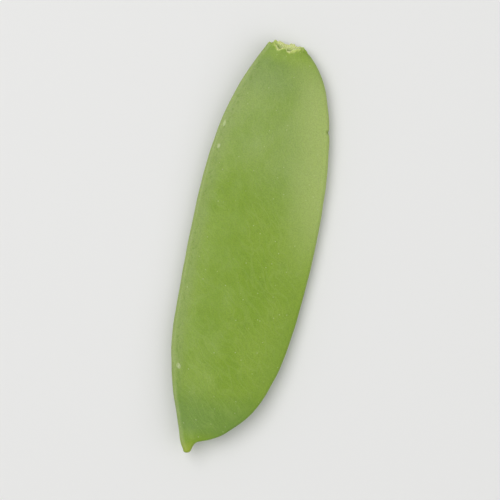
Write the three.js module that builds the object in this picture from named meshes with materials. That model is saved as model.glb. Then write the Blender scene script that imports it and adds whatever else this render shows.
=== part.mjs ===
// Snow pea pod (mangetout): one flat legume pod, trimmed at the stem end, lying on one valve.
// Millimetres, +Z up. +X runs from the trimmed end to the tip. The seed-bearing ventral edge
// faces -Y and the fuller dorsal edge faces +Y.
import * as THREE from "three";

// Outline from above. A rib joins one point of the ventral edge to one of the dorsal edge, each
// given as its distance from the trimmed end and its distance across from the stem-to-tip line.
const ribs = [
  { ventral: [0.9, -3.95], dorsal: [0.35, 3.75] },
  { ventral: [4.4, -5.5], dorsal: [3.0, 6.9] },
  { ventral: [10.1, -7.6], dorsal: [7.7, 10.05] },
  { ventral: [17.95, -9.5], dorsal: [15.5, 12.75] },
  { ventral: [28.2, -10.5], dorsal: [26.0, 14.7] },
  { ventral: [40.0, -10.5], dorsal: [39.5, 15.65] },
  { ventral: [52.5, -9.9], dorsal: [54.0, 15.55] },
  { ventral: [64.45, -8.95], dorsal: [66.1, 14.3] },
  { ventral: [73.4, -6.75], dorsal: [75.25, 11.3] },
  { ventral: [79.45, -4.35], dorsal: [80.75, 6.95] },
  { ventral: [82.6, -3.05], dorsal: [83.0, 4.0] },
  { ventral: [84.9, -2.15], dorsal: [84.4, 1.2] },
  { ventral: [86.4, -1.2], dorsal: [86.1, 0.5] },
];

// Section across the pod
const bodyThickness = 4.8; // over both valves at the widest rib, seeds not counted
const edgeThickness = 1.3; // over the rounded edges
const archPower = 1.1; // of the valve's arch: more is flatter beside the edges
const fullnessPower = 0.8; // how fast the pod thins where it narrows
const edgeRibReach = 0.75; // from an edge to the crest of the rib beside it
const edgeRibWidth = 0.6;
const ventralRibRise = 0.18; // height of the ventral rib on each valve
const dorsalRibRise = 0.08;
const hollowReach = 2.25; // from the ventral edge to the hollow inside its rib
const hollowWidth = 0.8;
const hollowDepth = 0.1;
const seamDepth = 0.2; // of the groove where the valves meet along the ventral edge
const seamWidth = 0.08; // as the sine of the turn round the section

// Young seeds: one row of faint swellings
const seedCount = 8;
const firstSeedAt = 14.5; // distance from the trimmed end
const lastSeedAt = 73.0;
const seedAcross = 0.43; // share of the width, from the ventral edge
const seedRadius = 3.3;
const seedRise = 0.36;
const seedUnevenness = 0.25; // share by which the seeds differ in growth

// How the pod lies
const lowestAt = 44; // distance from the trimmed end to where it touches the surface
const stemLift = 1.3; // rise of the middle plane at the trimmed end
const tipLift = 2.4; // rise of the middle plane at the tip
const stemTwist = -0.05; // slope across the pod at the trimmed end
const tipTwist = 0.1; // slope across the pod at the tip
const restDepth = 0.4; // how far the lowest part of the lower valve is pressed flat

// Trimmed end: a torn rim round a shallow slit, with rounded corners. The lower valve's lip stands
// out further, and two bites are torn out of the upper one.
const cutBulge = 0.35; // how far the middle of the rim stands out
const cornerTurn = 0.4; // how far the rim turns back at its two corners
const lipStep = 0.35; // how far the lower lip stands out and the upper one back
const tears = [
  { reach: 0.24, waves: 3, start: 0.6 },
  { reach: 0.14, waves: 7, start: 0.0 },
  { reach: 0.09, waves: 11, start: 1.3 },
];
const bites = [
  { across: 0.34, halfWidth: 0.13, depth: 1.2 },
  { across: 0.61, halfWidth: 0.15, depth: 1.4 },
];
const tearFade = 3; // distance over which the skin evens out again
const rimShare = 0.74; // size of the rim's inner outline, as a share of the section
const rimDepth = 0.2;
const slitShare = 0.42;
const slitDepth = 0.6;
const slitFloorShare = 0.2;
const slitFloorDepth = 2.2;

// Tip: the rounded stub of the style
const stubShare = 0.55;
const stubReach = 0.55;

// Fineness
const sectionCount = 66;
const ringPoints = 44;

const podLength = ribs.at(-1).ventral[0];
const fullWidth = Math.max(...ribs.map((rib) => rib.dorsal[1] - rib.ventral[1]));
const ventralEdge = new THREE.SplineCurve(ribs.map((rib) => new THREE.Vector2(...rib.ventral)));
const dorsalEdge = new THREE.SplineCurve(ribs.map((rib) => new THREE.Vector2(...rib.dorsal)));

function bump(distance, width) {
  return Math.exp(-((distance / width) ** 2));
}

function quarterRound(distance, radius) {
  const inset = Math.max(radius - distance, 0);
  return Math.sqrt(radius ** 2 - inset ** 2);
}

// Rise of a valve over the seeds, at a distance along the pod and a distance off their row.
function seedSwelling(along, offRow) {
  const spacing = (lastSeedAt - firstSeedAt) / (seedCount - 1);
  let rise = 0;
  for (let seed = 0; seed < seedCount; seed += 1) {
    const growth = 1 + seedUnevenness * Math.sin(2.4 * seed);
    const distance = Math.hypot(along - firstSeedAt - seed * spacing, offRow);
    rise += seedRise * growth * bump(distance, seedRadius);
  }
  return rise;
}

// Height of a valve's skin over the pod's middle plane.
function valveHeight(along, across, width) {
  const fromVentral = across * width;
  const fromDorsal = width - fromVentral;
  const fullness = (width / fullWidth) ** fullnessPower;
  const arch = (1 - (2 * across - 1) ** 2) ** archPower;
  const edgeRadius = Math.min(edgeThickness, width) / 2;
  const edge = quarterRound(Math.min(fromVentral, fromDorsal), edgeRadius);
  const body = (bodyThickness - edgeThickness) / 2 * fullness * arch;
  const seeds = seedSwelling(along, (across - seedAcross) * width) * arch;
  const hollow = hollowDepth * fullness * bump(fromVentral - hollowReach, hollowWidth);
  const ventralRib = ventralRibRise * bump(fromVentral - edgeRibReach, edgeRibWidth);
  const dorsalRib = dorsalRibRise * bump(fromDorsal - edgeRibReach, edgeRibWidth);
  const edgeRibs = (ventralRib + dorsalRib) * fullness * edge / edgeRadius;
  return edge + body + seeds - hollow + edgeRibs;
}

// Height of the middle plane: a long bow with a slight twist.
function middleHeight(along, fromLine) {
  const towardsStem = Math.max(lowestAt - along, 0) / lowestAt;
  const towardsTip = Math.max(along - lowestAt, 0) / (podLength - lowestAt);
  const bow = stemLift * towardsStem ** 2 + tipLift * towardsTip ** 2;
  const slope = stemTwist * towardsStem ** 2 + tipTwist * towardsTip ** 2;
  return bow + slope * fromLine;
}

// How far the cut is moved along the pod, at an angle round its rim.
function cutShift(angle, across) {
  const upperLip = Math.min(2 * Math.max(Math.sin(angle), 0), 1);
  let shift = lipStep * Math.sin(angle) - cutBulge * Math.sin(angle) ** 2;
  shift += cornerTurn * (2 * across - 1) ** 6;
  for (const tear of tears) {
    shift += tear.reach * Math.sin(tear.waves * angle + tear.start);
  }
  for (const bite of bites) {
    shift += bite.depth * upperLip * bump(across - bite.across, bite.halfWidth);
  }
  return shift;
}

// One point of the skin. station runs 0..1 from the trimmed end to the tip. angle runs round the
// section from the ventral edge, over the upper valve to the dorsal edge and back underneath.
function skinPoint(station, angle) {
  const ventral = ventralEdge.getPoint(station);
  const dorsal = dorsalEdge.getPoint(station);
  const across = (1 - Math.cos(angle)) / 2;
  const place = ventral.clone().lerp(dorsal, across);
  const height = valveHeight(place.x, across, ventral.distanceTo(dorsal));
  const seam = seamDepth * (1 - across) * bump(Math.sin(angle), seamWidth);
  const z = middleHeight(place.x, place.y) + height * Math.sign(Math.sin(angle));
  const cutAt = ribs[0].ventral[0] + (ribs[0].dorsal[0] - ribs[0].ventral[0]) * across;
  const torn = cutShift(angle, across) * Math.exp(-(place.x - cutAt) / tearFade);
  return new THREE.Vector3(place.x + torn, place.y + seam, z);
}

function section(station) {
  const ring = [];
  for (let step = 0; step < ringPoints; step += 1) {
    ring.push(skinPoint(station, 2 * Math.PI * step / ringPoints));
  }
  return ring;
}

function middleOf(ring) {
  const sum = ring.reduce((total, point) => total.add(point), new THREE.Vector3());
  return sum.divideScalar(ring.length);
}

// A copy of a ring drawn towards its middle and moved along the pod.
function drawnIn(ring, share, shift) {
  const middle = middleOf(ring);
  return ring.map((point) => {
    const moved = middle.clone().lerp(point, share);
    moved.x += shift;
    return moved;
  });
}

function allRings() {
  const sections = [];
  for (let step = 0; step <= sectionCount; step += 1) {
    sections.push(section(step / sectionCount));
  }
  const trimmedEnd = [
    drawnIn(sections[0], slitFloorShare, slitFloorDepth),
    drawnIn(sections[0], slitShare, slitDepth),
    drawnIn(sections[0], rimShare, rimDepth),
  ];
  const stub = drawnIn(sections.at(-1), stubShare, stubReach);
  return [...trimmedEnd, ...sections, stub];
}

function pressFlat(points) {
  const lowest = Math.min(...points.map((point) => point.z));
  for (const point of points) {
    point.z = Math.max(point.z, lowest + restDepth);
  }
}

// Triangles of a closed skin: a fan from the first point, bands between the rings, and a fan to
// the last point.
function skinTriangles(ringCount) {
  const triangles = [];
  const index = (ring, step) => 1 + ring * ringPoints + step % ringPoints;
  const lastPoint = 1 + ringCount * ringPoints;
  for (let step = 0; step < ringPoints; step += 1) {
    triangles.push(0, index(0, step), index(0, step + 1));
    for (let ring = 0; ring < ringCount - 1; ring += 1) {
      triangles.push(index(ring, step), index(ring + 1, step), index(ring + 1, step + 1));
      triangles.push(index(ring, step), index(ring + 1, step + 1), index(ring, step + 1));
    }
    triangles.push(lastPoint, index(ringCount - 1, step + 1), index(ringCount - 1, step));
  }
  return triangles;
}

function podGeometry() {
  const rings = allRings();
  const points = [middleOf(rings[0]), ...rings.flat(), middleOf(rings.at(-1))];
  pressFlat(points);
  const geometry = new THREE.BufferGeometry().setFromPoints(points);
  geometry.setIndex(skinTriangles(rings.length));
  geometry.computeBoundingBox();
  const { min, max } = geometry.boundingBox;
  geometry.translate(-(min.x + max.x) / 2, -(min.y + max.y) / 2, -min.z);
  geometry.computeVertexNormals();
  return geometry;
}

const podSkin = new THREE.MeshStandardMaterial({ color: 0x86a046, roughness: 0.5, metalness: 0 });
const pod = new THREE.Mesh(podGeometry(), podSkin);
pod.name = "pod";

const snowPeaPod = new THREE.Group();
snowPeaPod.add(pod);

export default snowPeaPod;
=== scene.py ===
import math

import bmesh
import bpy
import numpy as np
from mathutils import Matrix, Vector, noise


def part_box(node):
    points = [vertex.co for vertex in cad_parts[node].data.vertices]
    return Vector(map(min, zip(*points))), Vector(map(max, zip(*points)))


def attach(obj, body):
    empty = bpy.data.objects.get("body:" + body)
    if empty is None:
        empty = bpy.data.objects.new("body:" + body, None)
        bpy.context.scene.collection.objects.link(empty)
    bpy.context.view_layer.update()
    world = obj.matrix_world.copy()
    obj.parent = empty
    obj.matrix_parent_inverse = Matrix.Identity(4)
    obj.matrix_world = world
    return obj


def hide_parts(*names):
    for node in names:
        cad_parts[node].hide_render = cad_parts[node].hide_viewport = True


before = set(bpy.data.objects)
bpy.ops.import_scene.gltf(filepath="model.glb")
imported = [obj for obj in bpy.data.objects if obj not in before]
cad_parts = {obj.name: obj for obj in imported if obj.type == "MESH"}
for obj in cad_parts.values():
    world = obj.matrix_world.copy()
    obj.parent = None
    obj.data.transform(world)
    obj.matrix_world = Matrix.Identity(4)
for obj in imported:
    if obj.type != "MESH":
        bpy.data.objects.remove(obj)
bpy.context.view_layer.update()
mm = 0.001  # lengths below are in millimetres until the mesh is finished

# The camera looks straight down, with the trimmed end up and the tip to the lower left
viewSettings = {
    "lens": 150,
    "distance": 0.432,
    "shiftAlong": 0.0,
    "shiftAcross": 0.0,
    "roll": 103.6,
}


def makeCamera(settings):
    camera = bpy.data.objects.new("camera", bpy.data.cameras.new("camera"))
    camera.data.lens = settings["lens"]
    camera.data.clip_start = 0.01
    camera.location = (settings["shiftAlong"], settings["shiftAcross"], settings["distance"])
    camera.rotation_euler = (0, 0, math.radians(settings["roll"]))
    bpy.context.collection.objects.link(camera)
    bpy.context.scene.camera = camera


makeCamera(viewSettings)
print("camera ready")

# The pod's outline and section, as the solid has them
podShape = {
    "ribs": (
        ((0.9, -3.95), (0.35, 3.75)),
        ((4.4, -5.5), (3.0, 6.9)),
        ((10.1, -7.6), (7.7, 10.05)),
        ((17.95, -9.5), (15.5, 12.75)),
        ((28.2, -10.5), (26.0, 14.7)),
        ((40.0, -10.5), (39.5, 15.65)),
        ((52.5, -9.9), (54.0, 15.55)),
        ((64.45, -8.95), (66.1, 14.3)),
        ((73.4, -6.75), (75.25, 11.3)),
        ((79.45, -4.35), (80.75, 6.95)),
        ((82.6, -3.05), (83.0, 4.0)),
        ((84.9, -2.15), (84.4, 1.2)),
        ((86.4, -1.2), (86.1, 0.5)),
    ),
    "bodyThickness": 4.8,
    "edgeThickness": 1.3,
    "archPower": 1.1,
    "fullnessPower": 0.8,
    "ribReach": 0.6,
    "ribWidth": 0.42,
    "ventralRibRise": 0.12,
    "dorsalRibRise": 0.06,
    "hollowReach": 2.25,
    "hollowWidth": 0.8,
    "hollowDepth": 0.08,
    "seamDepth": 0.2,
    "seamWidth": 0.2,
    "seedCount": 8,
    "firstSeedAt": 14.5,
    "lastSeedAt": 73.0,
    "seedAcross": 0.43,
    "seedRadius": 3.3,
    "seedRise": 0.36,
    "seedUnevenness": 0.25,
    "lowestAt": 44,
    "stemLift": 1.3,
    "tipLift": 2.4,
    "stemTwist": -0.05,
    "tipTwist": 0.1,
    "restDepth": 0.4,
    "restBlend": 0.12,
}
# How finely the skin is made, and the relief too fine for the solid
podFineness = {
    "ringPoints": 220,
    "sections": 300,
    "edgeCrowding": 0.9,  # 0 spaces the ring's points evenly across the valve
    "endCrowding": 0.3,
    "swellSize": 9.0,
    "swellRise": 0.1,
    "dimpleSize": 2.2,
    "dimpleRise": 0.022,
    "veinSpacing": 1.7,
    "veinSlant": 1.1,  # along for each across
    "veinWander": 0.9,
    "veinWanderSize": 5.0,
    "veinBreadth": 0.7,  # less makes the raised veins narrower
    "veinRise": 0.012,
    "edgeHold": 6,  # more keeps the edge waves closer to the edges
    "edgeWaveSize": 3.4,
    "edgeWaveReach": 0.09,
    "nickAt": 16.0,  # a small dent in the dorsal edge
    "nickLength": 0.45,
    "nickDepth": 0.22,
    "nickHold": 8,
    "valveGap": 20.0,  # keeps the two valves apart in the maps, so that their patterns differ
}
# The torn, trimmed end: a ragged rim round a slit between the valves
trimmedEnd = {
    "cutBulge": 0.35,
    "cornerTurn": 0.4,
    "lipStep": 0.35,
    "tears": ((0.24, 3, 0.6), (0.14, 7, 0.0), (0.09, 11, 1.3)),  # reach, waves, start
    "bites": ((0.34, 0.13, 1.2), (0.61, 0.15, 1.4)),  # across, half width, depth in the upper lip
    "tearFade": 3.0,
    "rimFade": 0.9,
    "shredReach": 0.4,
    "shredSize": 0.55,
    "fibreReach": 0.2,
    "fibreSize": 0.16,
    "fibreLift": 0.05,
    "fibreStretch": (0.3, 1.0, 1.6),
    "fineLength": 1.6,  # how far from the end the skin is split finer
    "leastRim": 0.02,  # a point whose rim value is less keeps its place
    "fineSmoothing": 0.6,
    "rimStep": 0.85,  # share of the rim's value that is left at each step inwards
    "steps": (  # share of the section, distance in from the rim
        (0.96, -0.05),
        (0.9, -0.06),
        (0.84, 0.02),
        (0.77, 0.12),
        (0.7, 0.26),
        (0.63, 0.4),
        (0.56, 0.55),
        (0.5, 0.75),
        (0.42, 1.05),
        (0.34, 1.4),
        (0.26, 1.8),
        (0.18, 2.2),
    ),
}
tipStub = {"steps": ((0.93, 0.2), (0.8, 0.38), (0.55, 0.52), (0.25, 0.6))}


def bump(distance, width):
    return np.exp(-((distance / width) ** 2))


def splineAt(points, place):
    points = np.array(points)
    last = len(points) - 1
    place = np.clip(place, 0, 1) * last
    index = np.minimum(place.astype(int), last - 1)
    t = (place - index)[:, None]
    before, start = points[np.maximum(index - 1, 0)], points[index]
    end, after = points[index + 1], points[np.minimum(index + 2, last)]
    leave, arrive = (end - before) / 2, (after - start) / 2
    cubic = (2 * start - 2 * end + leave + arrive) * t**3
    return cubic + (3 * end - 3 * start - 2 * leave - arrive) * t**2 + leave * t + start


def seedSwelling(along, offRow):
    shape = podShape
    spacing = (shape["lastSeedAt"] - shape["firstSeedAt"]) / (shape["seedCount"] - 1)
    rise = np.zeros_like(along)
    for seed in range(shape["seedCount"]):
        growth = 1 + shape["seedUnevenness"] * math.sin(2.4 * seed)
        distance = np.hypot(along - shape["firstSeedAt"] - seed * spacing, offRow)
        rise += shape["seedRise"] * growth * bump(distance, shape["seedRadius"])
    return rise


def valveHeight(along, across, width, fullWidth):
    shape = podShape
    fromVentral = across * width
    fromDorsal = width - fromVentral
    fullness = (width / fullWidth) ** shape["fullnessPower"]
    arch = np.maximum(1 - (2 * across - 1) ** 2, 0) ** shape["archPower"]
    edgeRadius = np.minimum(shape["edgeThickness"], width) / 2
    inset = np.maximum(edgeRadius - np.minimum(fromVentral, fromDorsal), 0)
    edge = np.sqrt(np.maximum(edgeRadius**2 - inset**2, 0))
    body = (shape["bodyThickness"] - shape["edgeThickness"]) / 2 * fullness * arch
    seeds = seedSwelling(along, (across - shape["seedAcross"]) * width) * arch
    hollow = bump(fromVentral - shape["hollowReach"], shape["hollowWidth"])
    ribs = shape["ventralRibRise"] * bump(fromVentral - shape["ribReach"], shape["ribWidth"])
    ribs += shape["dorsalRibRise"] * bump(fromDorsal - shape["ribReach"], shape["ribWidth"])
    ribs *= edge / edgeRadius
    return edge + body + seeds + (ribs - shape["hollowDepth"] * hollow) * fullness


def middleHeight(along, fromLine, podLength):
    shape = podShape
    towardsStem = np.maximum(shape["lowestAt"] - along, 0) / shape["lowestAt"]
    towardsTip = np.maximum(along - shape["lowestAt"], 0) / (podLength - shape["lowestAt"])
    bow = shape["stemLift"] * towardsStem**2 + shape["tipLift"] * towardsTip**2
    slope = shape["stemTwist"] * towardsStem**2 + shape["tipTwist"] * towardsTip**2
    return bow + slope * fromLine


def stationOf(share):
    # turns an even share of the length into the outline's own running number
    ventral = [rib[0] for rib in podShape["ribs"]]
    dorsal = [rib[1] for rib in podShape["ribs"]]
    place = np.linspace(0, 1, 2000)
    along = (splineAt(ventral, place)[:, 0] + splineAt(dorsal, place)[:, 0]) / 2
    even = share * (1 - podFineness["endCrowding"])
    crowded = podFineness["endCrowding"] * (1 - np.cos(math.pi * share)) / 2
    return np.interp((even + crowded) * (along[-1] - along[0]) + along[0], along, place)


def smoothNoise(places, size, seed):
    shift = Vector((seed * 17.3, seed * 5.1, seed * 9.7))
    return np.array([noise.noise(Vector(place) / size + shift) for place in places])


def cutShift(angle, across):
    # how far the cut is moved along the pod, at an angle round its rim
    end = trimmedEnd
    upperLip = np.minimum(2 * np.maximum(np.sin(angle), 0), 1)
    shift = end["lipStep"] * np.sin(angle) - end["cutBulge"] * np.sin(angle) ** 2
    shift += end["cornerTurn"] * (2 * across - 1) ** 6
    for reach, waves, start in end["tears"]:
        shift += reach * np.sin(waves * angle + start)
    for middle, halfWidth, depth in end["bites"]:
        shift += depth * upperLip * bump(across - middle, halfWidth)
    return shift


def skinPlaces(share, turn):
    # share runs 0..1 along the pod; turn runs 0..2 round it, 1 at the dorsal edge
    shape = podShape
    fine = podFineness
    station = stationOf(share)
    ventral = splineAt([rib[0] for rib in shape["ribs"]], station)
    dorsal = splineAt([rib[1] for rib in shape["ribs"]], station)
    overValve = np.where(turn <= 1, turn, 2 - turn)
    upper = np.where(turn <= 1, 1.0, -1.0)
    crowded = (1 - np.cos(math.pi * overValve)) / 2
    across = fine["edgeCrowding"] * crowded + (1 - fine["edgeCrowding"]) * overValve
    width = np.linalg.norm(dorsal - ventral, axis=1)
    fullWidth = max(rib[1][1] - rib[0][1] for rib in shape["ribs"])
    podLength = shape["ribs"][-1][0][0]
    place = ventral + (dorsal - ventral) * across[:, None]
    along, fromLine = place[:, 0], place[:, 1]
    height = valveHeight(along, across, width, fullWidth)
    seam = shape["seamDepth"] * (1 - across) * bump(height, shape["seamWidth"])
    arch = np.sqrt(np.maximum(1 - (2 * across - 1) ** 2, 0))
    flat = np.column_stack((along, fromLine, 2 * upper * fine["valveGap"]))
    swell = fine["swellRise"] * smoothNoise(flat, fine["swellSize"], 1)
    dimple = fine["dimpleRise"] * smoothNoise(flat, fine["dimpleSize"], 2)
    wander = fine["veinWander"] * smoothNoise(flat, fine["veinWanderSize"], 3)
    slanted = along - across * width * fine["veinSlant"] + wander
    vein = np.abs(np.sin(math.pi * slanted / fine["veinSpacing"])) ** fine["veinBreadth"]
    height += (swell + dimple - fine["veinRise"] * vein) * arch
    z = middleHeight(along, fromLine, podLength) + height * upper
    waveAt = np.column_stack((along, 9 * (across > 0.5), np.zeros_like(along)))  # differs by edge
    wave = fine["edgeWaveReach"] * smoothNoise(waveAt, fine["edgeWaveSize"], 4)
    wave *= (2 * across - 1) ** fine["edgeHold"]
    nick = fine["nickDepth"] * bump(along - fine["nickAt"], fine["nickLength"])
    nick *= across ** fine["nickHold"]
    cutAt = shape["ribs"][0][0][0] + (shape["ribs"][0][1][0] - shape["ribs"][0][0][0]) * across
    fromCut = along - cutAt
    torn = cutShift(math.pi * turn, across) * np.exp(-fromCut / trimmedEnd["tearFade"])
    places = np.column_stack((along + torn, fromLine + seam + wave - nick, z))
    seeds = seedSwelling(along, (across - shape["seedAcross"]) * width) / shape["seedRise"]
    skinMap = np.column_stack((along, across * width, upper * (fine["valveGap"] + height)))
    edgeMap = np.column_stack((across * width, (1 - across) * width, seeds))
    return places, skinMap, edgeMap, np.exp(-fromCut / trimmedEnd["rimFade"])


def shredEnd(mesh, rimLayer):
    # splits the rim finer, then pulls its flesh out into uneven fibres along the pod
    end = trimmedEnd
    mesh.verts.ensure_lookup_table()
    least = math.exp(-end["fineLength"] / end["rimFade"])
    inside = {v for v in mesh.verts if v[rimLayer] > least}
    edges = [e for e in mesh.edges if e.verts[0] in inside and e.verts[1] in inside]
    smoothing = end["fineSmoothing"]
    bmesh.ops.subdivide_edges(mesh, edges=edges, cuts=1, use_grid_fill=True, smooth=smoothing)
    for vertex in mesh.verts:
        nearRim = vertex[rimLayer]
        if nearRim < end["leastRim"]:
            continue
        across = vertex.co * Vector(end["fibreStretch"])
        shred = noise.noise(across / end["shredSize"])
        fibre = noise.noise(across / end["fibreSize"] + Vector((7, 3, 1)))
        vertex.co.x -= nearRim * (end["shredReach"] * shred + end["fibreReach"] * fibre)
        vertex.co.z += nearRim * end["fibreLift"] * noise.noise(across / end["fibreSize"])


def pressFlat(z):
    # a soft maximum, so the pressed spot runs smoothly into the valve
    floor = z.min() + podShape["restDepth"]
    blend = podShape["restBlend"]
    near = np.clip((z - floor) / blend, -1, 1)
    eased = floor + blend * (near + 1) ** 2 / 4
    return np.where(z > floor + blend, z, np.where(z < floor - blend, floor, eased))


def drawEnd(mesh, cap, steps, depthLayer, rimLayer):
    # extrudes an end's face inwards step by step and closes it with a fan
    rim = [v.co.copy() for v in cap.verts]
    middle = sum(rim, Vector()) / len(rim)
    for share, shift in steps:
        made = bmesh.ops.extrude_discrete_faces(mesh, faces=[cap])
        cap = made["faces"][0]
        for vertex, start in zip(cap.verts, rim):
            vertex.co = middle.lerp(start, share)
            vertex.co.x += shift
            vertex[depthLayer] = 1 - share
            vertex[rimLayer] *= trimmedEnd["rimStep"]
    bmesh.ops.poke(mesh, faces=[cap])


def makePod():
    fine = podFineness
    mesh = bmesh.new()
    bmesh.ops.create_cone(
        mesh,
        cap_ends=True,
        cap_tris=False,
        segments=fine["ringPoints"],
        radius1=1,
        radius2=1,
        depth=1,
    )
    mesh.verts.ensure_lookup_table()
    longEdges = [e for e in mesh.edges if abs(e.verts[0].co.z - e.verts[1].co.z) > 0.5]
    bmesh.ops.subdivide_edges(mesh, edges=longEdges, cuts=fine["sections"] - 1, use_grid_fill=True)
    blank = np.array([v.co for v in mesh.verts])
    share = blank[:, 2] + 0.5
    angle = np.mod(np.arctan2(blank[:, 1], blank[:, 0]), 2 * math.pi)
    angle[angle > 2 * math.pi - 1e-4] = 0  # a full turn is the ventral seam again
    places, skinMap, edgeMap, rim = skinPlaces(share, angle / math.pi)
    mapLayer = mesh.verts.layers.float_vector.new("skinMap")
    edgeLayer = mesh.verts.layers.float_vector.new("edgeMap")
    fleshLayer = mesh.verts.layers.float.new("flesh")
    stubLayer = mesh.verts.layers.float.new("stub")
    rimLayer = mesh.verts.layers.float.new("rim")
    for vertex, place, onSkin, toEdges, nearRim in zip(mesh.verts, places, skinMap, edgeMap, rim):
        vertex.co = place
        vertex[mapLayer] = onSkin
        vertex[edgeLayer] = toEdges
        vertex[rimLayer] = nearRim
    caps = [f for f in mesh.faces if len(f.verts) > 4]
    caps.sort(key=lambda f: f.calc_center_median().x)
    drawEnd(mesh, caps[0], trimmedEnd["steps"], fleshLayer, rimLayer)
    drawEnd(mesh, caps[1], tipStub["steps"], stubLayer, rimLayer)
    shredEnd(mesh, rimLayer)
    bmesh.ops.recalc_face_normals(mesh, faces=mesh.faces)
    for face in mesh.faces:
        face.smooth = True
        face.material_index = int(max(v[fleshLayer] for v in face.verts) > 0)
    pod = bpy.data.meshes.new("snowPeaPod")
    mesh.to_mesh(pod)
    mesh.free()
    return pod


def fitToSolid(pod, low, high):
    co = np.empty(len(pod.vertices) * 3)
    pod.vertices.foreach_get("co", co)
    co = co.reshape(-1, 3)
    co[:, 2] = pressFlat(co[:, 2])
    size = co.max(0) - co.min(0)
    co = (co - co.min(0)) / size * np.array(high - low) + np.array(low)
    pod.vertices.foreach_set("co", co.ravel())
    pod.update()


podMesh = makePod()
fitToSolid(podMesh, *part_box("pod"))
pod = bpy.data.objects.new("snowPeaPod", podMesh)
bpy.context.collection.objects.link(pod)
print("pod made:", len(podMesh.vertices), "points")


def addNode(tree, kind, inputs=None, **settings):
    made = tree.nodes.new("ShaderNode" + kind)
    for name, value in settings.items():
        setattr(made, name, value)
    for socket, value in (inputs or {}).items():
        if isinstance(value, bpy.types.NodeSocket):
            tree.links.new(value, made.inputs[socket])
        else:
            made.inputs[socket].default_value = value
    return made


def calc(tree, operation, *values, clamp=False):
    made = addNode(tree, "Math", dict(enumerate(values)), operation=operation, use_clamp=clamp)
    return made.outputs[0]


def fade(tree, value, start, end, low=0.0, high=1.0):
    # runs smoothly from low to high while value goes from start to end
    inputs = {"Value": value, "From Min": start, "From Max": end, "To Min": low, "To Max": high}
    return addNode(tree, "MapRange", inputs, interpolation_type="SMOOTHSTEP").outputs[0]


def stripe(tree, value, middle, width):
    # 1 at the middle, falling smoothly to 0 a width away
    return fade(tree, calc(tree, "ABSOLUTE", calc(tree, "SUBTRACT", value, middle)), width, 0.0)


def mixed(tree, factor, first, second, how="MIX"):
    inputs = {0: factor, 6: first, 7: second}
    return addNode(tree, "Mix", inputs, data_type="RGBA", blend_type=how).outputs[2]


def stretched(tree, place, along, across, valve=1.0):
    inputs = {0: place, 1: (along, across, valve)}
    return addNode(tree, "VectorMath", inputs, operation="MULTIPLY").outputs[0]


def patches(tree, place, pattern):
    inputs = {
        "Vector": stretched(tree, place, *pattern["stretch"]),
        "Scale": 1 / pattern["size"],
        "Detail": pattern["detail"],
        "Roughness": pattern["roughness"],
    }
    return addNode(tree, "TexNoise", inputs).outputs["Fac"]


def newGroup(name, inputs, outputs):
    group = bpy.data.node_groups.new(name, "ShaderNodeTree")
    for label, kind, value in inputs:
        socket = group.interface.new_socket(label, in_out="INPUT", socket_type="NodeSocket" + kind)
        if value is not None:
            socket.default_value = value
    for label, kind in outputs:
        group.interface.new_socket(label, in_out="OUTPUT", socket_type="NodeSocket" + kind)
    given = group.nodes.new("NodeGroupInput").outputs
    out = group.nodes.new("NodeGroupOutput").inputs
    return group, given, out


cellGrainShape = {
    "noiseDetail": 3.0,
    "dotScale": 0.22,  # of the cells', so less sets the dots further apart
    "dotSize": (0.16, 0.05),  # where a dot starts and is full
}


def makeCellGrain(shape):
    # the fine pebbling of plant skin, with a pale dot on a few of its cells
    group, given, out = newGroup(
        "cellGrain",
        [("Place", "Vector", None), ("Cell Size", "Float", 0.3), ("Dot Share", "Float", 0.2)],
        [("Grain", "Float"), ("Dots", "Float")],
    )
    scale = calc(group, "DIVIDE", 1.0, given["Cell Size"])
    cells = addNode(group, "TexVoronoi", {"Vector": given["Place"], "Scale": scale})
    noiseInputs = {"Vector": given["Place"], "Scale": scale, "Detail": shape["noiseDetail"]}
    softNoise = addNode(group, "TexNoise", noiseInputs)
    grain = calc(group, "ADD", cells.outputs["Distance"], softNoise.outputs["Fac"])
    group.links.new(grain, out["Grain"])
    dotScale = calc(group, "MULTIPLY", scale, shape["dotScale"])
    dotCells = addNode(group, "TexVoronoi", {"Vector": given["Place"], "Scale": dotScale})
    chance = addNode(group, "SeparateColor", {0: dotCells.outputs["Color"]}).outputs[0]
    chosen = calc(group, "LESS_THAN", chance, given["Dot Share"])
    dot = fade(group, dotCells.outputs["Distance"], *shape["dotSize"])
    group.links.new(calc(group, "MULTIPLY", dot, chosen), out["Dots"])
    return group


veinNetShape = {
    "wanderScale": 0.22,
    "wanderReach": (4.0, 4.0, 0.0),
    "longStretch": 0.36,  # less makes the main cells longer across the pod
    "shortStretch": 0.8,
    "fineShare": 2.6,  # finer cells for each main one
    "unevenness": 0.9,
    "width": (0.11, 0.0),
    "fineWidth": (0.16, 0.0),
}


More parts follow.
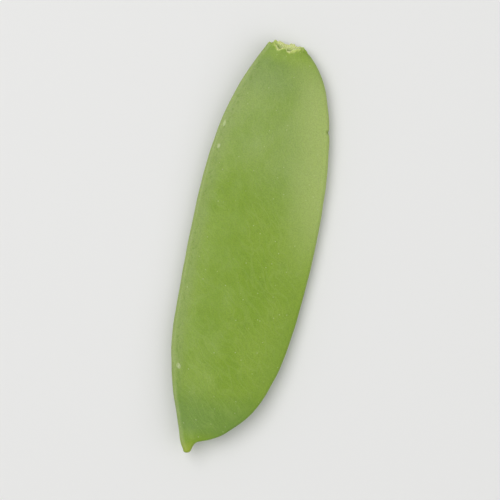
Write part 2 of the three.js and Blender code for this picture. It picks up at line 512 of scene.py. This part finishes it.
def makeVeinNet(shape):
    # slanting veins that branch and join, and a finer net between them
    group, given, out = newGroup(
        "veinNet",
        [("Place", "Vector", None), ("Spacing", "Float", 1.9), ("Slant", "Float", 0.9)],
        [("Veins", "Float"), ("Fine Veins", "Float")],
    )
    wanderInputs = {"Vector": given["Place"], "Scale": shape["wanderScale"], "Detail": 1.0}
    wander = addNode(group, "TexNoise", wanderInputs)
    bend = stretched(group, wander.outputs["Color"], *shape["wanderReach"])
    bent = addNode(group, "VectorMath", {0: given["Place"], 1: bend}, operation="ADD")
    parts = addNode(group, "SeparateXYZ", {0: bent.outputs[0]}).outputs
    slanted = calc(group, "SUBTRACT", parts[0], calc(group, "MULTIPLY", parts[1], given["Slant"]))
    scale = calc(group, "DIVIDE", 1.0, given["Spacing"])
    fineScale = calc(group, "MULTIPLY", scale, shape["fineShare"])
    nets = (
        ("Veins", shape["longStretch"], scale, shape["unevenness"], shape["width"]),
        ("Fine Veins", shape["shortStretch"], fineScale, 1.0, shape["fineWidth"]),
    )
    for name, stretch, netScale, unevenness, width in nets:
        over = calc(group, "MULTIPLY", parts[1], stretch)
        cells = addNode(group, "CombineXYZ", {0: slanted, 1: over, 2: parts[2]}).outputs[0]
        netInputs = {"Vector": cells, "Scale": netScale, "Randomness": unevenness}
        net = addNode(group, "TexVoronoi", netInputs, feature="DISTANCE_TO_EDGE")
        group.links.new(fade(group, net.outputs["Distance"], *width), out[name])
    return group


def useGroup(tree, group, inputs):
    made = tree.nodes.new("ShaderNodeGroup")
    made.node_tree = group
    for name, value in inputs.items():
        if isinstance(value, bpy.types.NodeSocket):
            tree.links.new(value, made.inputs[name])
        else:
            made.inputs[name].default_value = value
    return made.outputs


cellGrain = makeCellGrain(cellGrainShape)
veinNet = makeVeinNet(veinNetShape)

podSkin = {
    "richGreen": (0.205, 0.33, 0.019, 1),
    "softGreen": (0.23, 0.352, 0.03, 1),
    "lushGreen": (0.195, 0.32, 0.008, 1),
    "deepGreen": (0.15, 0.262, 0.02, 1),
    "tipGreen": (0.165, 0.282, 0.035, 1),
    # waxy bloom colour, partly the wax's own tint and partly a painted sheen
    "waxyGreySheen": (0.36, 0.45, 0.19, 1),
    "marginGreen": (0.33, 0.4, 0.16, 1),
    "ribGreen": (0.34, 0.43, 0.15, 1),
    "paleBack": (0.4, 0.5, 0.15, 1),
    "seamGreen": (0.15, 0.27, 0.04, 1),
    "paleScar": (0.6, 0.68, 0.36, 1),
    "nickGreen": (0.12, 0.19, 0.012, 1),
    "dryBrown": (0.2, 0.17, 0.05, 1),
    "veinGreen": (0.32, 0.44, 0.1, 1),
    "strawTip": (0.34, 0.42, 0.04, 1),
    "fleshYellow": (0.56, 0.64, 0.18, 1),
    # distances along the pod where a zone starts, is full, starts to go and is gone
    "bloomSheenZone": (2.0, 15.0, 27.0, 46.0),  # waxy bloom with painted sheen, along the dorsal edge
    "bloomSheenLean": 0.55,  # how far the bloom and its painted sheen are set back for each step across from that edge
    "paleBackZone": (-5.0, 10.0, 27.0, 52.0),
    # painted shade: the dorsal edge of the lower half is darkened; its band and strength are listed
    # below
    "paintedShadeZone": (48.0, 60.0, 74.0, 81.0),
    "richZone": (22.0, 32.0, 54.0, 66.0),
    "richBand": (3.5, 6.5, 8.5, 12.5),  # the same across, from the ventral edge
    "marginZone": (2.0, 12.0, 68.0, 77.0),
    "dullZone": (2.6, 5.0, 8.0, 13.5),
    "tipZone": (71.0, 79.0, 81.0, 84.5),
    # along, from the ventral edge, half length, half width
    "scars": ((19.1, 1.0, 0.8, 0.3), (23.9, 1.5, 0.55, 0.35), (69.9, 1.7, 0.6, 0.5)),
    "nick": (16.0, 0.0, 0.55, 0.6),  # the same from the dorsal edge
    # distance from an edge where a band starts and where it is full
    "ventralClear": (1.6, 3.2),
    "dorsalClear": (1.0, 2.6),
    "marginBand": (4.2, 1.0),
    "paleBackBand": (9.5, 1.5),
    "paintedShadeBand": (6.0, 0.5),
    "ventralRibBand": (1.35, 0.35),
    "seamBand": (0.06, 0.0),
    "fleckBand": (1.4, 1.4),  # middle and half width
    "ventralCorner": (0.9, 2.0),
    "dorsalCorner": (0.1, 0.9),
    "strawStart": (83.8, 86.4),
    # how strongly each colour covers what is under it
    "covers": {
        "blotch": 0.3,
        "dull": 0.8,
        "veins": 0.18,
        "fineVeins": 0.08,
        "seeds": 0.2,
        "bloomAndSheen": 0.4,
        "rich": 0.55,
        "margin": 0.4,
        "flecks": 0.45,
        "paleBack": 0.72,
        "paintedShade": 0.25,
        "seam": 0.7,
        "dots": 0.4,
        "scars": 0.6,
        "nick": 0.7,
        "straw": 0.75,
        "dryStub": 0.8,
        "frayed": 0.85,
    },
    # uneven patches; less stretch makes them longer along or across the pod
    "patterns": {
        "broad": {"size": 8.0, "stretch": (0.7, 1.0), "detail": 3.0, "roughness": 0.5},
        "blotch": {"size": 2.6, "stretch": (1.0, 1.0), "detail": 4.0, "roughness": 0.6},
        "cloud": {"size": 7.0, "stretch": (0.6, 1.0), "detail": 3.0, "roughness": 0.6},
        "uneven": {"size": 0.8, "stretch": (0.25, 1.0), "detail": 2.0, "roughness": 0.5},
        "flecks": {"size": 0.9, "stretch": (1.0, 1.8), "detail": 2.0, "roughness": 0.6},
        "ragged": {"size": 0.35, "stretch": (1.0, 1.0), "detail": 3.0, "roughness": 0.6},
        "torn": {"size": 0.5, "stretch": (0.35, 1.0), "detail": 3.0, "roughness": 0.5},
    },
    # the values where a pattern or mask starts to show and is full, and its strength at each
    "limits": {
        "soft": (0.36, 0.62),
        "blotch": (0.5, 0.75),
        "bloomAndSheen": (0.28, 0.6, 0.62, 1.0),
        "seeds": (0.2, 1.0),
        "flecks": (0.5, 0.66),
        "ventralRib": (0.3, 0.7, 0.5, 0.9),
        "shade": (0.5, 1.3, 0.9, 1.08),
        "dryStub": (0.25, 0.8),
        "frayed": (1.0, 1.45),
        "roughness": (0.3, 0.7, 0.38, 0.5),
    },
    "cells": {"Cell Size": 0.24, "Dot Share": 0.3},
    "bloomRoughness": 0.14,
    "relief": {"grain": 0.35, "veins": 0.5, "fineVeins": 0.25, "scars": 1.2},
    "bumpStrength": 0.5,
    "bumpDepth": 0.05,
    "subsurface": 0.25,
    "subsurfaceRadius": (0.7, 1.0, 0.25),
    "subsurfaceDepth": 1.2,
    "specular": 0.3,
}


def linkRelief(tree, shader, relief, values):
    inputs = {"Height": relief, "Strength": values["bumpStrength"], "Distance": values["bumpDepth"] * mm}
    tree.links.new(addNode(tree, "Bump", inputs).outputs[0], shader.inputs["Normal"])


def setPlantShader(shader, values):
    shader.inputs["Subsurface Weight"].default_value = values["subsurface"]
    shader.inputs["Subsurface Radius"].default_value = values["subsurfaceRadius"]
    shader.inputs["Subsurface Scale"].default_value = values["subsurfaceDepth"] * mm
    shader.inputs["Specular IOR Level"].default_value = values["specular"]


def zone(tree, value, limits):
    start, full, going, gone = limits
    return calc(tree, "MULTIPLY", fade(tree, value, start, full), fade(tree, value, gone, going))


def spotAt(tree, along, across, uneven, spot):
    # a soft, uneven spot; spot gives its place along and across and its two half sizes
    down = calc(tree, "DIVIDE", calc(tree, "SUBTRACT", along, spot[0]), spot[2])
    over = calc(tree, "DIVIDE", calc(tree, "SUBTRACT", across, spot[1]), spot[3])
    squares = calc(tree, "ADD", calc(tree, "POWER", down, 2.0), calc(tree, "POWER", over, 2.0))
    return fade(tree, calc(tree, "ADD", squares, calc(tree, "MULTIPLY", uneven, 2.4)), 2.6, 1.1)


def covered(tree, mask, strength, colour, cover):
    return mixed(tree, calc(tree, "MULTIPLY", mask, strength), colour, cover)


def podSkinMaterial(values):
    skin = bpy.data.materials.new("podSkin")
    skin.use_nodes = True
    tree = skin.node_tree
    shader = tree.nodes["Principled BSDF"]
    covers, limits, patterns = values["covers"], values["limits"], values["patterns"]
    place = addNode(tree, "Attribute", attribute_name="skinMap").outputs["Vector"]
    along, across, valve = addNode(tree, "SeparateXYZ", {0: place}).outputs[:3]
    edges = addNode(tree, "Attribute", attribute_name="edgeMap").outputs["Vector"]
    fromVentral, fromDorsal, seeds = addNode(tree, "SeparateXYZ", {0: edges}).outputs[:3]
    stub = addNode(tree, "Attribute", attribute_name="stub").outputs["Fac"]
    rim = addNode(tree, "Attribute", attribute_name="rim").outputs["Fac"]

    # broad mottling, then a waxy bloom with a painted sheen, paler and greyer, strongest towards the
    # trimmed end
    broad = patches(tree, place, patterns["broad"])
    blotch = patches(tree, place, patterns["blotch"])
    cloud = patches(tree, place, patterns["cloud"])
    soft = fade(tree, broad, *limits["soft"])
    colour = mixed(tree, soft, values["richGreen"], values["softGreen"])
    deep = fade(tree, blotch, *limits["blotch"])
    colour = covered(tree, deep, covers["blotch"], colour, values["deepGreen"])
    colour = mixed(tree, zone(tree, along, values["tipZone"]), colour, values["tipGreen"])
    dull = zone(tree, along, values["dullZone"])
    colour = covered(tree, dull, covers["dull"], colour, values["deepGreen"])
    leaning = calc(tree, "ADD", along, calc(tree, "MULTIPLY", fromDorsal, values["bloomSheenLean"]))
    bloomSheenPatches = fade(tree, cloud, *limits["bloomAndSheen"])
    bloomAndSheen = calc(tree, "MULTIPLY", zone(tree, leaning, values["bloomSheenZone"]), bloomSheenPatches)

    # veins, hidden under the ribs and fading where the bloom and its painted sheen are strong
    net = useGroup(tree, veinNet, {"Place": place})
    clear = calc(
        tree,
        "MULTIPLY",
        fade(tree, fromVentral, *values["ventralClear"]),
        fade(tree, fromDorsal, *values["dorsalClear"]),
    )
    veins = calc(tree, "MULTIPLY", net["Veins"], clear)
    fineVeins = calc(tree, "MULTIPLY", net["Fine Veins"], clear)
    colour = covered(tree, veins, covers["veins"], colour, values["veinGreen"])
    colour = covered(tree, fineVeins, covers["fineVeins"], colour, values["veinGreen"])
    seeds = fade(tree, seeds, *limits["seeds"])
    colour = covered(tree, seeds, covers["seeds"], colour, values["softGreen"])
    # painted sheen: the pale grey bloom colour is partly the wax's own colour and partly a painted soft
    # reflection
    colour = covered(tree, bloomAndSheen, covers["bloomAndSheen"], colour, values["waxyGreySheen"])
    richAcross = zone(tree, fromVentral, values["richBand"])
    rich = calc(tree, "MULTIPLY", zone(tree, along, values["richZone"]), richAcross)
    colour = covered(tree, rich, covers["rich"], colour, values["lushGreen"])

    # paler margins and ribs along both edges, and painted shade along the lower dorsal edge
    margin = fade(tree, fromVentral, *values["marginBand"])
    margin = calc(tree, "MULTIPLY", margin, zone(tree, along, values["marginZone"]))
    colour = covered(tree, margin, covers["margin"], colour, values["marginGreen"])
    flecks = fade(tree, patches(tree, place, patterns["flecks"]), *limits["flecks"])
    flecks = calc(tree, "MULTIPLY", flecks, stripe(tree, fromVentral, *values["fleckBand"]))
    colour = covered(tree, flecks, covers["flecks"], colour, values["deepGreen"])
    pale = fade(tree, fromDorsal, *values["paleBackBand"])
    pale = calc(tree, "MULTIPLY", pale, zone(tree, along, values["paleBackZone"]))
    colour = covered(tree, pale, covers["paleBack"], colour, values["paleBack"])
    # painted shade: deep green laid along the lower dorsal edge, as if that edge faced away from the
    # lamp
    paintedShadeMask = fade(tree, fromDorsal, *values["paintedShadeBand"])
    paintedShadeMask = calc(tree, "MULTIPLY", paintedShadeMask, zone(tree, along, values["paintedShadeZone"]))
    colour = covered(tree, paintedShadeMask, covers["paintedShade"], colour, values["deepGreen"])
    uneven = fade(tree, patches(tree, place, patterns["uneven"]), *limits["ventralRib"])
    ventralRib = fade(tree, fromVentral, *values["ventralRibBand"])
    ventralRib = calc(tree, "MULTIPLY", ventralRib, uneven)
    colour = mixed(tree, ventralRib, colour, values["ribGreen"])
    seam = fade(tree, fromVentral, *values["seamBand"])
    colour = covered(tree, seam, covers["seam"], colour, values["seamGreen"])

    # grain and dots all over, and scars on the upper valve
    grain = useGroup(tree, cellGrain, {"Place": place, **values["cells"]})
    colour = covered(tree, grain["Dots"], covers["dots"], colour, values["paleScar"])
    shade = fade(tree, grain["Grain"], *limits["shade"])
    shadeColour = addNode(tree, "CombineColor", {0: shade, 1: shade, 2: shade}).outputs[0]
    colour = mixed(tree, 1.0, colour, shadeColour, "MULTIPLY")
    ragged = patches(tree, place, patterns["ragged"])
    scars = 0.0
    for scar in values["scars"]:
        scars = calc(tree, "MAXIMUM", scars, spotAt(tree, along, across, ragged, scar))
    scars = calc(tree, "MULTIPLY", scars, calc(tree, "GREATER_THAN", valve, 0.0))
    colour = covered(tree, scars, covers["scars"], colour, values["paleScar"])
    nick = spotAt(tree, along, fromDorsal, ragged, values["nick"])
    colour = covered(tree, nick, covers["nick"], colour, values["nickGreen"])

    # the drying tip and the torn rim, which stays green at its two corners
    straw = fade(tree, along, *values["strawStart"])
    colour = covered(tree, straw, covers["straw"], colour, values["strawTip"])
    dryStub = fade(tree, stub, *limits["dryStub"])
    colour = covered(tree, dryStub, covers["dryStub"], colour, values["dryBrown"])
    frayed = calc(tree, "ADD", rim, patches(tree, place, patterns["torn"]))
    frayed = fade(tree, frayed, *limits["frayed"])
    frayed = calc(tree, "MULTIPLY", frayed, fade(tree, fromVentral, *values["ventralCorner"]))
    frayed = calc(tree, "MULTIPLY", frayed, fade(tree, fromDorsal, *values["dorsalCorner"]))
    colour = covered(tree, frayed, covers["frayed"], colour, values["fleshYellow"])
    tree.links.new(colour, shader.inputs["Base Color"])

    roughness = fade(tree, blotch, *limits["roughness"])
    bloomRoughness = calc(tree, "MULTIPLY", bloomAndSheen, values["bloomRoughness"])
    tree.links.new(calc(tree, "ADD", roughness, bloomRoughness), shader.inputs["Roughness"])
    relief = calc(tree, "MULTIPLY", grain["Grain"], values["relief"]["grain"])
    relief = calc(tree, "ADD", relief, calc(tree, "MULTIPLY", veins, values["relief"]["veins"]))
    relief = calc(tree, "ADD", relief, calc(tree, "MULTIPLY", fineVeins, values["relief"]["fineVeins"]))
    relief = calc(tree, "SUBTRACT", relief, calc(tree, "MULTIPLY", scars, values["relief"]["scars"]))
    linkRelief(tree, shader, relief, values)
    setPlantShader(shader, values)
    return skin


tornFlesh = {
    "cream": (0.8, 0.82, 0.42, 1),
    "paleGreen": (0.5, 0.6, 0.17, 1),
    # painted shade: darker green deep in the slit between the valves
    "slitShadeGreen": (0.27, 0.38, 0.07, 1),
    "cornerGreen": (0.3, 0.43, 0.06, 1),
    "dryBrown": (0.4, 0.33, 0.11, 1),
    "fibres": {"size": 0.16, "stretch": (0.25, 1.0), "detail": 3.0, "roughness": 0.6},
    "tufts": {"size": 0.5, "stretch": (1.0, 1.0), "detail": 2.0, "roughness": 0.5},
    "cells": {"Cell Size": 0.12, "Dot Share": 0.1},
    "creamLimits": (0.35, 0.65),
    "brownLimits": (0.58, 0.75),
    "slitShadeLimits": (0.3, 0.75),
    "ventralCorner": (2.0, 1.0),  # distance from an edge where a green corner starts and is full
    "dorsalCorner": (0.9, 0.2),
    "cornerCover": 0.8,
    "brownCover": 0.4,
    "grainRelief": 0.3,
    "roughness": 0.55,
    "bumpStrength": 0.7,
    "bumpDepth": 0.08,
    "subsurface": 0.4,
    "subsurfaceRadius": (0.9, 1.0, 0.35),
    "subsurfaceDepth": 1.2,
    "specular": 0.5,
}


def tornFleshMaterial(values):
    flesh = bpy.data.materials.new("tornFlesh")
    flesh.use_nodes = True
    tree = flesh.node_tree
    shader = tree.nodes["Principled BSDF"]
    spot = addNode(tree, "TexCoord").outputs["Object"]
    inMm = stretched(tree, spot, 1 / mm, 1 / mm, 1 / mm)
    depth = addNode(tree, "Attribute", attribute_name="flesh").outputs["Fac"]
    edges = addNode(tree, "Attribute", attribute_name="edgeMap").outputs["Vector"]
    fromVentral, fromDorsal = addNode(tree, "SeparateXYZ", {0: edges}).outputs[:2]
    fibres = patches(tree, inMm, values["fibres"])
    tufts = patches(tree, inMm, values["tufts"])
    creamy = fade(tree, fibres, *values["creamLimits"])
    colour = mixed(tree, creamy, values["paleGreen"], values["cream"])
    brown = fade(tree, tufts, *values["brownLimits"])
    colour = covered(tree, brown, values["brownCover"], colour, values["dryBrown"])
    ventralCorner = fade(tree, fromVentral, *values["ventralCorner"])
    dorsalCorner = fade(tree, fromDorsal, *values["dorsalCorner"])
    corners = calc(tree, "MAXIMUM", ventralCorner, dorsalCorner)
    colour = covered(tree, corners, values["cornerCover"], colour, values["cornerGreen"])
    # painted shade: the colour darkens deeper into the slit between the valves
    colour = mixed(tree, fade(tree, depth, *values["slitShadeLimits"]), colour, values["slitShadeGreen"])
    tree.links.new(colour, shader.inputs["Base Color"])
    grain = useGroup(tree, cellGrain, {"Place": inMm, **values["cells"]})
    relief = calc(tree, "ADD", fibres, calc(tree, "MULTIPLY", grain["Grain"], values["grainRelief"]))
    linkRelief(tree, shader, relief, values)
    setPlantShader(shader, values)
    shader.inputs["Roughness"].default_value = values["roughness"]
    return flesh


podMesh.materials.append(podSkinMaterial(podSkin))
podMesh.materials.append(tornFleshMaterial(tornFlesh))
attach(pod, "root")
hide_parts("pod")
print("materials ready:", len(podMesh.materials))

# Pale floor and soft studio light
studio = {
    "floorSize": 3.0,
    "floorColour": (0.83, 0.83, 0.82, 1),
    "floorRoughness": 0.9,
    "worldColour": (1, 1, 1, 1),
    "worldStrength": 0.36,
    "lamps": (  # name, place, size, watts
        ("keyLamp", (-0.14, -0.36, 0.76), 0.6, 3.85),
        ("fillLamp", (0.1, 0.5, 0.62), 0.9, 2.2),
    ),
}


def makeStudio(settings):
    floorMesh = bmesh.new()
    bmesh.ops.create_grid(floorMesh, x_segments=1, y_segments=1, size=settings["floorSize"] / 2)
    floorData = bpy.data.meshes.new("floor")
    floorMesh.to_mesh(floorData)
    floorMesh.free()
    floor = bpy.data.objects.new("floor", floorData)
    bpy.context.collection.objects.link(floor)
    paper = bpy.data.materials.new("floorPaper")
    paper.use_nodes = True
    paperShader = paper.node_tree.nodes["Principled BSDF"]
    paperShader.inputs["Base Color"].default_value = settings["floorColour"]
    paperShader.inputs["Roughness"].default_value = settings["floorRoughness"]
    floorData.materials.append(paper)
    world = bpy.data.worlds.new("softRoom")
    world.use_nodes = True
    background = world.node_tree.nodes["Background"]
    background.inputs["Color"].default_value = settings["worldColour"]
    background.inputs["Strength"].default_value = settings["worldStrength"]
    bpy.context.scene.world = world
    bpy.context.scene.view_settings.view_transform = "Standard"
    for name, place, size, watts in settings["lamps"]:
        lamp = bpy.data.objects.new(name, bpy.data.lights.new(name, "AREA"))
        lamp.data.size = size
        lamp.data.energy = watts
        lamp.location = place
        lamp.rotation_euler = (-Vector(place)).to_track_quat("-Z", "Y").to_euler()
        bpy.context.collection.objects.link(lamp)


makeStudio(studio)
print("studio ready")
